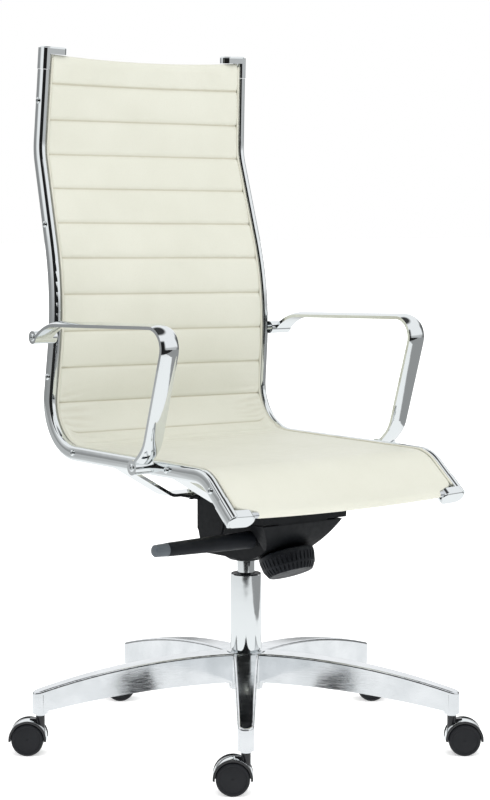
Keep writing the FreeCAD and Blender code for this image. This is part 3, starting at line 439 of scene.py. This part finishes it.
class Glow:
    """Emission material whose brightness is put together from soft-edged zones of object space."""

    def __init__(self, name):
        self.material = bpy.data.materials.new(name)
        self.material.use_nodes = True
        self.tree = self.material.node_tree
        self.tree.nodes.clear()
        self.place = self.node("ShaderNodeTexCoord").outputs["Object"]

    def node(self, kind, **settings):
        made = self.tree.nodes.new(kind)
        for key, value in settings.items():
            setattr(made, key, value)
        return made

    def dot(self, vector, direction):
        made = self.node("ShaderNodeVectorMath", operation="DOT_PRODUCT")
        self.tree.links.new(vector, made.inputs[0])
        made.inputs[1].default_value = direction
        return made.outputs["Value"]

    def maths(self, operation, *sources):
        made = self.node("ShaderNodeMath", operation=operation)
        for socket, source in zip(made.inputs, sources):
            self.tree.links.new(source, socket)
        return made.outputs["Value"]

    def ramp(self, source, low, high, value_low=0, value_high=1):
        made = self.node("ShaderNodeMapRange", interpolation_type="SMOOTHSTEP")
        set_span(made, (low, high, value_low, value_high))
        self.tree.links.new(source, made.inputs["Value"])
        return made.outputs["Result"]

    def band(self, source, low, high, soft):
        """1 between low and high, 0 outside."""
        rise = self.ramp(source, low - soft, low + soft)
        fall = self.ramp(source, high - soft, high + soft, 1, 0)
        return self.maths("MULTIPLY", rise, fall)

    def mix(self, factor, under, over):
        made = self.node("ShaderNodeMix", data_type="RGBA")
        self.tree.links.new(factor, made.inputs["Factor"])
        feed_colours(self.tree, made, (under, over))
        return made.outputs["Result"]

    def finish(self, level):
        emission = self.node("ShaderNodeEmission")
        self.tree.links.new(level, emission.inputs["Color"])
        output = self.node("ShaderNodeOutputMaterial")
        self.tree.links.new(emission.outputs["Emission"], output.inputs["Surface"])
        return self.material


def cool(brightness):
    """Slightly bluish grey of a brightness."""
    return (brightness, brightness * 1.02, brightness * 1.03)


def surround_material():
    glow = Glow("studio_surround")
    unit = glow.node("ShaderNodeVectorMath", operation="NORMALIZE")
    glow.tree.links.new(glow.place, unit.inputs[0])
    direction = unit.outputs["Vector"]
    heading = glow.maths("ARCTAN2", glow.dot(direction, compass(90, 0)), glow.dot(direction, compass(0, 0)))
    elevation = glow.maths("ARCSINE", glow.dot(direction, (0, 0, 1)))
    level = (0.97, 0.985, 1.0)
    for from_heading, to_heading, from_elevation, to_elevation, softness, brightness in SURROUND_PANELS:
        soft = math.radians(softness)
        margin = soft if from_heading == -180 else 0      # no seam where the headings meet
        start, end = math.radians(from_heading) - margin, math.radians(to_heading) + margin
        aside = glow.band(heading, start, end, soft)
        upright = glow.band(elevation, math.radians(from_elevation), math.radians(to_elevation), soft)
        level = glow.mix(glow.maths("MULTIPLY", aside, upright), level, cool(brightness))
    return glow.finish(level)


def floor_glow_material():
    """The floor as bright metal sees it: white paper that darkens outward, grey past its right edge and dark
    past its front edge."""
    glow = Glow("studio_floor_glow")
    across, along = glow.dot(glow.place, (1, 0, 0)), glow.dot(glow.place, (0, 1, 0))
    squares = glow.maths("ADD", glow.maths("MULTIPLY", across, across), glow.maths("MULTIPLY", along, along))
    distance = glow.maths("SQRT", squares)
    paper = glow.mix(glow.ramp(distance, *PAPER_FADE), cool(1.02), cool(0.5))
    past_right_edge = glow.ramp(glow.dot(glow.place, compass(90, 0)), *PAPER_RIGHT_EDGE)
    past_front_edge = glow.ramp(glow.dot(glow.place, compass(0, 0)), *PAPER_FRONT_EDGE)
    level = glow.mix(past_right_edge, paper, cool(0.33))
    return glow.finish(glow.mix(past_front_edge, level, cool(0.02)))


def reflection_surround():
    """Dome and floor that only glossy surfaces see."""
    ball = bmesh.new()
    bmesh.ops.create_icosphere(ball, subdivisions=4, radius=SURROUND_RADIUS)
    mesh = bpy.data.meshes.new("surround")
    ball.to_mesh(mesh)
    ball.free()
    mesh.materials.append(surround_material())
    hide_from_all_but_gloss(add_object("surround", mesh))
    glow = flat_square("floor_glow", GLOW_FLOOR_HALF, GLOW_FLOOR_LIFT, floor_glow_material())
    hide_from_all_but_gloss(glow)


# ---------------------------------------------------------------- leather sling
def rounded_line(points, radii):
    """Straight runs joined by tangent arcs, in the YZ plane: arc length and points, finely sampled."""
    spots = [np.array(p, float) for p in points]
    runs, cursor = [], spots[0]
    for before, corner, after, radius in zip(spots, spots[1:], spots[2:], radii):
        a, b = before - corner, after - corner
        a, b = a / np.linalg.norm(a), b / np.linalg.norm(b)
        half = math.acos(a @ b) / 2
        reach = radius / math.tan(half)
        centre = corner + (a + b) / np.linalg.norm(a + b) * radius / math.sin(half)
        start, end = corner + a * reach, corner + b * reach
        runs.append(np.linspace(cursor, start, 40)[:-1])
        first, last = (math.atan2(p[1] - centre[1], p[0] - centre[0]) for p in (start, end))
        sweep = (last - first + math.pi) % (2 * math.pi) - math.pi
        angles = first + sweep * np.linspace(0, 1, 80)
        runs.append((centre + radius * np.column_stack([np.cos(angles), np.sin(angles)]))[:-1])
        cursor = end
    runs.append(np.linspace(cursor, spots[-1], 40))
    line = np.concatenate(runs)
    along = np.concatenate([[0], np.cumsum(np.linalg.norm(np.diff(line, axis=0), axis=1))])
    return along, line


def sling_line():
    """The rail's line, made longer at both ends to the sling's hems."""
    points = [np.array(p, float) for p in RAIL_POINTS]
    up = (points[0] - points[1]) / np.linalg.norm(points[0] - points[1])
    out = (points[-1] - points[-2]) / np.linalg.norm(points[-1] - points[-2])
    ends = points[0] + up * SLING_TOP_REACH, points[-1] + out * SLING_FRONT_REACH
    return rounded_line([ends[0], *points[1:-1], ends[1]], RAIL_RADII)


ALONG, LINE = sling_line()
SLING_LENGTH = ALONG[-1]
SEAMS = [SEAM_FIRST + SEAM_PITCH * k for k in range(SEAM_COUNT)] + [SEAM_LAST]


def on_line(s):
    """Points of the rail line and its sitting-side normals at arc lengths s; arrays of any shape."""
    y, z = (np.interp(s, ALONG, LINE[:, k]) for k in (0, 1))
    step = 1.0
    dy, dz = (np.interp(s + step, ALONG, LINE[:, k]) - np.interp(s - step, ALONG, LINE[:, k]) for k in (0, 1))
    size = np.hypot(dy, dz)
    return y, z, dz / size, -dy / size


def edge_x(y, z):
    """Half width between the rails at a place on them."""
    lean = math.sin(RAIL_LEAN) * (z - RAIL_PIVOT_Z) + math.sin(RAIL_TOE) * y
    return RAIL_X - RAIL_HALF_WIDTH - SLING_EDGE_GAP - lean


def sling_half_width(s):
    y, z, _, _ = on_line(s)
    wide = edge_x(y, z)
    start = SLING_LENGTH - HEM_NOTCH
    return wide + (HEM_HALF_WIDTH - wide) * smooth(start - 3, start + 3, s)


def dome_profile(distance, radius):
    """Height, 0 to 1, of a rounded edge at a distance in from it."""
    d = np.clip(distance, 0, radius)
    return np.sqrt(np.maximum(radius ** 2 - (radius - d) ** 2, 0)) / radius


def sling_grid():
    """Rows along the sling, closer beside each seam, by columns across it, closer beside each edge."""
    def rib_rows(start, end, count):
        fractions = np.linspace(0, 1, count + 1)[:-1]
        return start + (end - start) * (fractions - 0.12 * np.sin(2 * math.pi * fractions))

    top = np.array([0, 1.0, 2.8, 5.5, 9, 14, 20, 27, 34, 40, 44])
    ribs = [rib_rows(a, b, 20 if b > WRINKLES_FROM else 10) for a, b in zip(SEAMS, SEAMS[1:])]
    after = SEAM_LAST + np.array([0, 1.4, 4, 8])
    tail = 14
    slack_end = after[-1] + SLACK_ROWS_LENGTH
    seat = np.concatenate([np.linspace(after[-1], slack_end, 30)[1:],
                           np.linspace(slack_end, SLING_LENGTH - tail, 34)[1:]])
    hem = SLING_LENGTH - np.array([9, 5.5, 2.8, 1.0, 0])
    rows = np.concatenate([top, *ribs, after, seat, hem])
    t = np.linspace(-1, 1, SLING_COLUMNS)
    return np.meshgrid(rows, t + 0.15 * np.sin(math.pi * t), indexing="ij")


def seam_distance(rows):
    return np.min([np.abs(rows - seam) for seam in SEAMS], axis=0)


def rib_crown(rows):
    """0 at a seam, 1 in the middle of a rib."""
    edges = np.array([4.0] + SEAMS)
    k = np.clip(np.searchsorted(edges, rows, side="right") - 1, 0, len(edges) - 2)
    f = np.clip((rows - edges[k]) / (edges[k + 1] - edges[k]), 0, 1)
    return np.where(rows > SEAMS[-1], 0.35, np.sin(math.pi * f) ** 0.55)


def sling_surfaces():
    """Sitting and back side of the padded sling as (row, column, xyz) arrays in millimetres, the height of
    its folds, and the grid's rows and places across."""
    rows, across = sling_grid()
    edge = np.abs(across)
    gather = GATHER_DEPTH * smooth(0.86, 1, edge) * np.exp(-((rows - SEAM_LAST) / GATHER_SPREAD) ** 2)
    sag = TOP_SAG * (1 - across ** 2) * (1 - smooth(0, 70, rows))
    skew = SEAM_SKEW * smooth(0, 450, rows) * (1 - smooth(650, 800, rows)) * (1 - across) / 2
    s = rows - gather + sag - skew
    y, z, ny, nz = on_line(s)
    droop = FRONT_DROOP * (1 - across ** 2) * smooth(SLING_LENGTH - 150, SLING_LENGTH, rows)
    y, z = y - nz * droop, z + ny * droop
    half = sling_half_width(s)
    x = across * half
    fade = 1 - smooth(0.88, 0.97, edge) * (np.abs(rows - SEAM_LAST) < 25)
    after_last = smooth(SEAM_LAST, SEAM_LAST + 30, rows)
    crown = rib_crown(rows) * (rows <= SEAM_LAST) + SEAT_CROWN * after_last * (rows > SEAM_LAST)
    groove = np.exp(-(seam_distance(rows) / GROOVE_WIDTH) ** 2)
    height = PAD_HALF + PAD_CROWN * (1 - fade * (1 - crown)) - GROOVE_DEPTH * groove * fade
    bars = np.maximum(np.exp(-((rows - BAR_SPOT["top"]) / BAR_SPREAD) ** 2),
                      np.exp(-((rows - SLING_LENGTH + BAR_SPOT["front"]) / BAR_SPREAD) ** 2))
    height = height + (BAR_HALF - height) * bars
    height = height * dome_profile(rows, END_ROUNDING) * dome_profile(SLING_LENGTH - rows, END_ROUNDING)
    height = height * dome_profile(half * (1 - edge), SIDE_ROUNDING)
    ripple = side_wrinkles(rows, across, half)
    middle = np.stack([x, y + SLING_OFFSET * ny, z + SLING_OFFSET * nz], axis=-1)
    out = np.stack([np.zeros_like(ny), ny, nz], axis=-1)
    return middle + out * (height + ripple)[..., None], middle - out * height[..., None], ripple, rows, across


def side_wrinkles(rows, across, half):
    """Small folds that fan in from the rails on the lowest ribs, and slack lines across the seat's rear."""
    inward = half * (1 - np.abs(across))
    phase = np.where(across < 0, 0.0, 1.7)     # so that the two sides differ
    bent = (rows + 0.16 * inward * np.sin(rows / 27 + phase)) * math.pi / FOLD_PITCH + phase
    fan = 1 - 2 * np.abs(np.sin(bent)) ** 0.8
    reach = np.exp(-((inward - 12) / 50) ** 2) * smooth(2, 10, inward)
    low_ribs = np.exp(-((rows - FOLDS_AT) / FOLDS_SPREAD) ** 2) * smooth(2, 9, seam_distance(rows))
    waves = np.sin(rows * 2 * math.pi / SLACK_PITCH + 0.8 * np.sin(across * 2.3))
    slack = waves * np.exp(-((rows - SLACK_AT) / SLACK_SPREAD) ** 2)
    return FOLD_DEPTH * fan * reach * low_ribs + SLACK_DEPTH * slack * smooth(6, 30, inward)


def closed_grid(front, back):
    """Vertices and faces of two grids that share their outer border, and the mask of points inside it."""
    n_rows, n_columns = front.shape[:2]
    inner = np.zeros((n_rows, n_columns), bool)
    inner[1:-1, 1:-1] = True
    front_index = np.arange(n_rows * n_columns).reshape(n_rows, n_columns)
    back_index = front_index.copy()
    back_index[inner] = n_rows * n_columns + np.arange(inner.sum())

    def quads(index, order):
        corners = (index[:-1, :-1], index[:-1, 1:], index[1:, 1:], index[1:, :-1])
        return np.stack([corners[k] for k in order], axis=-1).reshape(-1, 4)

    vertices = np.concatenate([front.reshape(-1, 3), back[inner]])
    faces = np.concatenate([quads(front_index, (0, 1, 2, 3)), quads(back_index, (3, 2, 1, 0))])
    return vertices, faces, inner


def tube_faces(rings, sides):
    """Quads between rings of points that are counted ring by ring, and a cap at each end."""
    index = np.arange(rings * sides).reshape(rings, sides)
    after = np.roll(index, -1, axis=1)
    faces = np.stack([index[:-1], after[:-1], after[1:], index[1:]], axis=-1).reshape(-1, 4).tolist()
    return faces + [index[0][::-1].tolist(), index[-1].tolist()]


def inflate(cover, pinned, caps):
    """Cloth simulation of the cover under air pressure; each point moves at most about its cap, in metres."""
    group = cover.vertex_groups.new(name="sewn_down")
    group.add([int(i) for i in np.nonzero(pinned)[0]], 1.0, "REPLACE")
    rest = np.array([v.co for v in cover.data.vertices])
    cloth = cover.modifiers.new("cloth", "CLOTH")
    settings = cloth.settings
    settings.quality = 6
    settings.mass = 0.3
    settings.tension_stiffness = 25
    settings.compression_stiffness = 25
    settings.shear_stiffness = 12
    settings.bending_stiffness = 1.2
    settings.use_pressure = True
    settings.uniform_pressure_force = 4
    settings.vertex_group_mass = "sewn_down"
    settings.effector_weights.gravity = 0
    settings.shrink_min = -0.008
    cloth.collision_settings.use_collision = False
    cloth.point_cache.frame_end = CLOTH_FRAMES
    for step in range(1, CLOTH_FRAMES + 1):
        SCENE.frame_set(step)
    settled = cover.evaluated_get(bpy.context.evaluated_depsgraph_get())
    moved = np.array([v.co for v in settled.data.vertices])
    cover.modifiers.remove(cloth)
    SCENE.frame_set(1)
    shift = moved - rest
    size = np.maximum(np.linalg.norm(shift, axis=1), 1e-9)
    shift *= (caps * np.tanh(size / caps) / size)[:, None]
    cover.data.vertices.foreach_set("co", (rest + shift).ravel())
    cover.data.update()


def make_sling():
    """One-piece padded leather panel, ribbed on the back and plain on the seat."""
    front, back, ripple, rows, across = sling_surfaces()
    vertices, faces, inner = closed_grid(front, back)
    cover = mesh_object("sling_cover", vertices * MM, faces, SLOT_FINISH["leather"])

    def on_both(values):
        return np.concatenate([values.ravel(), values[inner]])

    edge = np.abs(across)
    # Painted shade: a darker line down in each seam's groove, kept in the seam attribute
    seam = np.exp(-(seam_distance(rows) / SEAM_SHADE_WIDTH) ** 2) * (1 - smooth(0.88, 0.97, edge) * (rows > 600))
    shade = cover.data.attributes.new("seam", "FLOAT", "POINT")
    # Painted shade: the folds' valleys darkened, kept in the seam attribute together with the seams' groove
    # shade
    folds = 0.22 * smooth(0.1, 1.3, -ripple)
    shade.data.foreach_set("value", on_both(np.maximum(seam * 0.75, folds)).astype(np.float32))
    pinned = seam_distance(rows) < STITCHED_NEAR
    pinned &= ~((np.abs(rows - SEAM_LAST) < STITCHED_NEAR) & (edge > 0.93))
    pinned |= (edge > 0.985) | (rows < 20) | (rows > SLING_LENGTH - 16)
    caps = np.where(rows > SEAM_LAST, 0.9, 1.0) * MM
    inflate(cover, on_both(pinned), on_both(caps))
    rounder = cover.modifiers.new("rounder", "SUBSURF")
    rounder.levels = rounder.render_levels = 1
    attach(cover, "seat")
    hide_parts("leather_sling")


def make_piping(side, name):
    """Leather-covered cord along the sling's edge, beside the rail."""
    s = np.linspace(PIPING_END_GAP, SLING_LENGTH - HEM_NOTCH - PIPING_END_GAP, PIPING_ROWS)
    y, z, ny, nz = on_line(s)
    lift = SLING_OFFSET + PAD_HALF + PIPING_PROUD
    centre = np.column_stack([side * (edge_x(y, z) - PIPING_R), y + lift * ny, z + lift * nz])
    lines = []
    for k in range(PIPING_SIDES):
        turn = 2 * math.pi * k / PIPING_SIDES
        a, b = PIPING_R * math.cos(turn), PIPING_R * math.sin(turn)
        lines.append(centre + np.column_stack([np.full_like(ny, a), b * ny, b * nz]))
    grid = np.stack(lines, axis=1).reshape(-1, 3)
    piping = mesh_object(name, grid * MM, tube_faces(PIPING_ROWS, PIPING_SIDES), PIPING_PAINTED_SHADE_FINISH)
    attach(piping, "seat")


# ---------------------------------------------------------------- castor crowns
def make_castor_crown(index):
    """Bright plated strip over the top of a castor's hood, between its two black edge beads."""
    stem = math.radians(STAR_FIRST_DEG + index * 360 / STAR_ARMS)
    heading = CASTOR_HEADING + (0 if CASTOR_TRAIL_SIGNS[index] > 0 else math.pi)
    trail = np.array([math.cos(heading), math.sin(heading), 0])
    axle = np.array([-trail[1], trail[0], 0])
    centre = STEM_CIRCLE_R * np.array([math.cos(stem), math.sin(stem), 0]) + CASTOR_TRAIL * trail
    centre[2] = WHEEL_R
    low_edge, shoulder = CROWN_OUTER_R - CROWN_EDGE_DROP, CROWN_HALF - CROWN_EDGE
    section = [(-CROWN_HALF, CROWN_INNER_R), (-CROWN_HALF, low_edge), (-shoulder, CROWN_OUTER_R),
               (0, CROWN_OUTER_R + CROWN_RISE), (shoulder, CROWN_OUTER_R), (CROWN_HALF, low_edge),
               (CROWN_HALF, CROWN_INNER_R)]
    grid = np.array([centre + axle * y + r * (trail * math.cos(a) + np.array([0, 0, math.sin(a)]))
                     for a in np.radians(np.linspace(CROWN_FROM_DEG, CROWN_TO_DEG, CROWN_STEPS))
                     for y, r in section])
    faces = [face[::-1] for face in tube_faces(CROWN_STEPS, len(section))]
    crown = mesh_object(f"castor_crown_{index + 1}", grid * MM, faces, SLOT_FINISH["chrome"])
    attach(crown, f"castor_{index + 1}")


# ---------------------------------------------------------------- assembly
set_camera()
lay_floor()
light_studio()
reflection_surround()
dress_cad_nodes()
make_sling()
make_piping(1, "edge_piping_left")
make_piping(-1, "edge_piping_right")
for castor in range(STAR_ARMS):
    make_castor_crown(castor)
